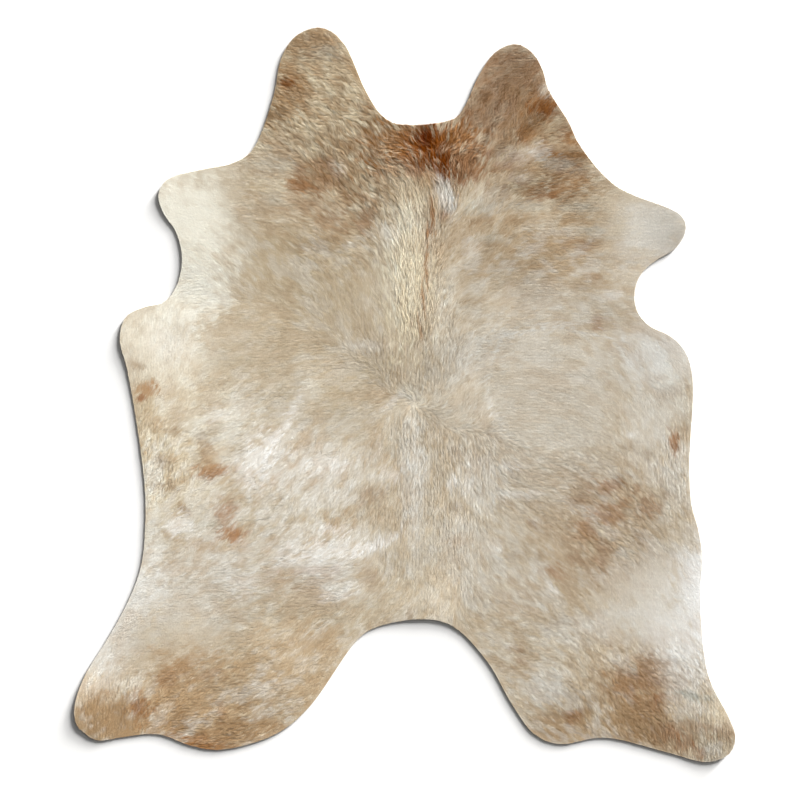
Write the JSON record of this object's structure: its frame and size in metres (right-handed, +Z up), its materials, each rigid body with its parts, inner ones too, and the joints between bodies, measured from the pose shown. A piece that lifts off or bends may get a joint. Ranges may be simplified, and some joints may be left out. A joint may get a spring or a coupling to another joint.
{
  "type": "cowhide",
  "caption": "Hair-on cowhide rug lying flat, cut round its natural outline, with short light hair over a thin tanned skin.",
  "frame": {"origin": "on the ground under the middle of the hide's box", "axes": "+Z up out of the hair side, +Y along the back towards the neck, +X towards the animal's right side"},
  "size_m": [1.98, 2.2, 0.0126],
  "materials": {
    "hair_on_hide": "short combed cattle hair, beige with cream, tan and rust brindle, soft satin sheen"
  },
  "bodies": {
    "root": {"hide": "hair_on_hide"}
  },
  "joints": []
}
